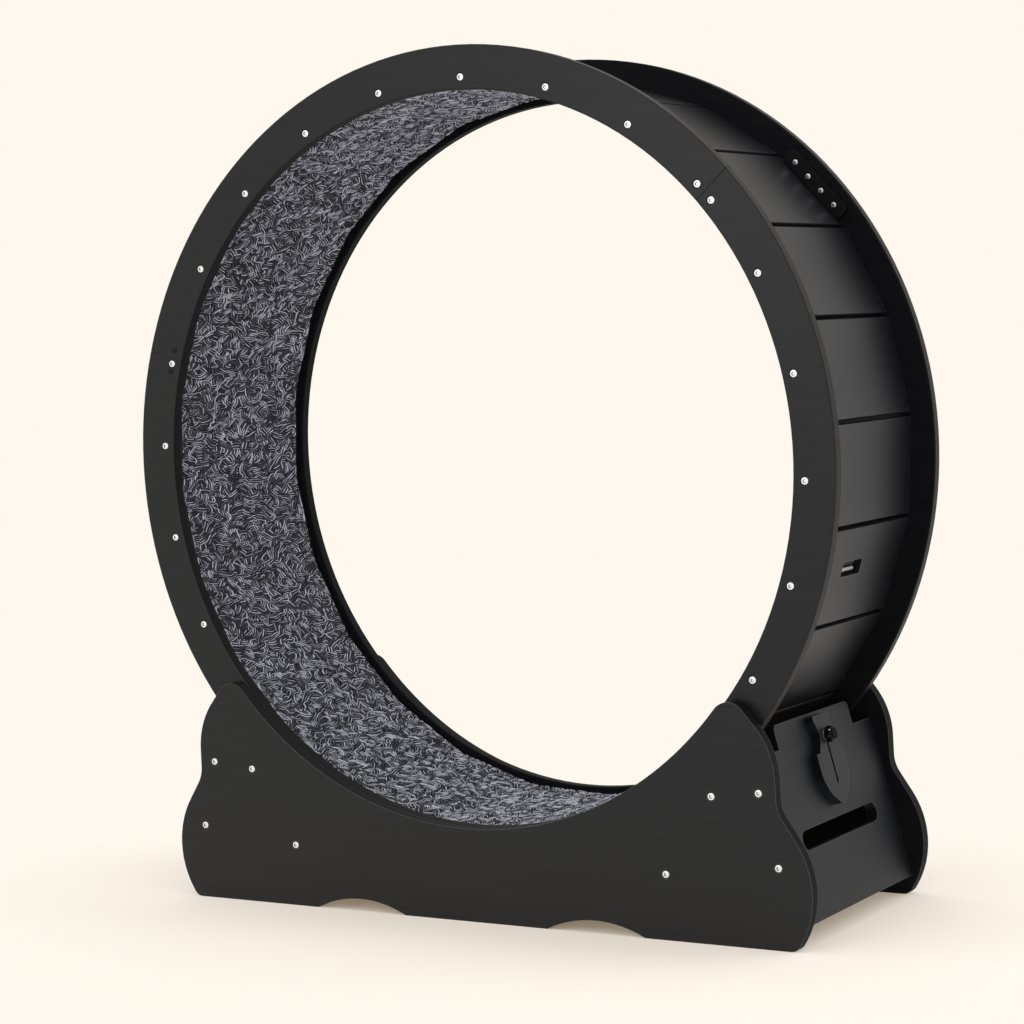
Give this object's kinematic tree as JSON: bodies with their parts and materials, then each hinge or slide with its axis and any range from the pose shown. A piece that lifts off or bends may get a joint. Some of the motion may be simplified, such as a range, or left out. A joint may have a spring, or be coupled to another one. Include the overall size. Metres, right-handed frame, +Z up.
{
  "type": "cat exercise wheel",
  "caption": "Free-standing running wheel: a carpeted board drum between segmented side rings, turning on rollers in a low stand with a sliding lock.",
  "frame": {"origin": "on the floor under the middle of the drum, at the middle of the part's box", "axes": "+Z up, +Y from the front side panel to the rear one, along the drum's axis; +X towards the end board with the lock"},
  "size_m": [1.0359, 0.3408, 1.1],
  "materials": {
    "black_board": "satin black painted board",
    "black_bar": "matt black painted board",
    "carpet": "grey loop pile",
    "zinc_steel": "bright zinc",
    "black_plastic": "matt black",
    "knob_plastic": "gloss black",
    "roller_plastic": "matt dark grey"
  },
  "bodies": {
    "base": {"front_side_panel": "black_board", "rear_side_panel": "black_board", "left_end_board": "black_board", "right_end_board": "black_board", "left_cross_rail": "black_bar", "right_cross_rail": "black_bar", "left_axle": "zinc_steel", "right_axle": "zinc_steel", "axle_spacers": "roller_plastic", "base_screws": "zinc_steel", "lock_stud": "zinc_steel", "lock_washer": "black_plastic"},
    "wheel": {"front_ring_segment_a": "black_board", "front_ring_segment_b": "black_board", "front_ring_segment_c": "black_board", "rear_ring_segment_a": "black_board", "rear_ring_segment_b": "black_board", "rear_ring_segment_c": "black_board", "tread_board_01": "black_board", "tread_board_02": "black_board", "tread_board_03": "black_board", "tread_board_04": "black_board", "tread_board_05": "black_board", "tread_board_06": "black_board", "tread_board_07": "black_board", "tread_board_08": "black_board", "tread_board_09": "black_board", "tread_board_10": "black_board", "tread_board_11": "black_board", "tread_board_12": "black_board", "tread_board_13": "black_board", "tread_board_14": "black_board", "tread_board_15": "black_board", "tread_board_16": "black_board", "tread_board_17": "black_board", "tread_board_18": "black_board", "tread_board_19": "black_board", "tread_board_20": "black_board", "tread_board_21": "black_board", "tread_board_22": "black_board", "tread_board_23": "black_board", "lock_board": "black_board", "lock_board_bolt": "zinc_steel", "lock_board_block": "black_plastic", "carpet_runner": "carpet", "front_joint_plate_a": "black_bar", "front_joint_plate_b": "black_bar", "front_joint_plate_c": "black_bar", "rear_joint_plate_a": "black_bar", "rear_joint_plate_b": "black_bar", "rear_joint_plate_c": "black_bar", "ring_screws": "zinc_steel", "plate_screws": "zinc_steel", "joint_screw_caps": "black_plastic"},
    "roller_front_left_body": {"roller_front_left": "roller_plastic"},
    "roller_front_right_body": {"roller_front_right": "roller_plastic"},
    "roller_rear_left_body": {"roller_rear_left": "roller_plastic"},
    "roller_rear_right_body": {"roller_rear_right": "roller_plastic"},
    "lock_slider_body": {"lock_slider": "black_board"},
    "lock_knob_body": {"lock_knob": "knob_plastic"}
  },
  "joints": [
    {"name": "wheel_spin", "type": "hinge", "parent": "base", "child": "wheel", "pos_m": [0, 0, 0.582], "axis": [0, -1, 0], "continuous": true},
    {"name": "roller_front_left_spin", "type": "hinge", "parent": "base", "child": "roller_front_left_body", "pos_m": [-0.34543, -0.1445, 0.17898], "axis": [0, -1, 0], "continuous": true},
    {"name": "roller_front_right_spin", "type": "hinge", "parent": "base", "child": "roller_front_right_body", "pos_m": [0.34543, -0.1445, 0.17898], "axis": [0, -1, 0], "continuous": true},
    {"name": "roller_rear_left_spin", "type": "hinge", "parent": "base", "child": "roller_rear_left_body", "pos_m": [-0.34543, 0.1445, 0.17898], "axis": [0, -1, 0], "continuous": true},
    {"name": "roller_rear_right_spin", "type": "hinge", "parent": "base", "child": "roller_rear_right_body", "pos_m": [0.34543, 0.1445, 0.17898], "axis": [0, -1, 0], "continuous": true},
    {"name": "lock_slide", "type": "slide", "parent": "base", "child": "lock_slider_body", "axis": [-0.2453, 0, 0.9694], "range_m": [0, 0.035]},
    {"name": "lock_knob_turn", "type": "hinge", "parent": "base", "child": "lock_knob_body", "pos_m": [0.41866, 0, 0.22962], "axis": [0.9694, 0, 0.2453], "range_deg": [0, 540]}
  ],
  "couplings": [
    {"joint": "roller_front_left_spin", "follows": "wheel_spin", "ratio": -41.44},
    {"joint": "roller_front_right_spin", "follows": "wheel_spin", "ratio": -41.44},
    {"joint": "roller_rear_left_spin", "follows": "wheel_spin", "ratio": -41.44},
    {"joint": "roller_rear_right_spin", "follows": "wheel_spin", "ratio": -41.44}
  ]
}
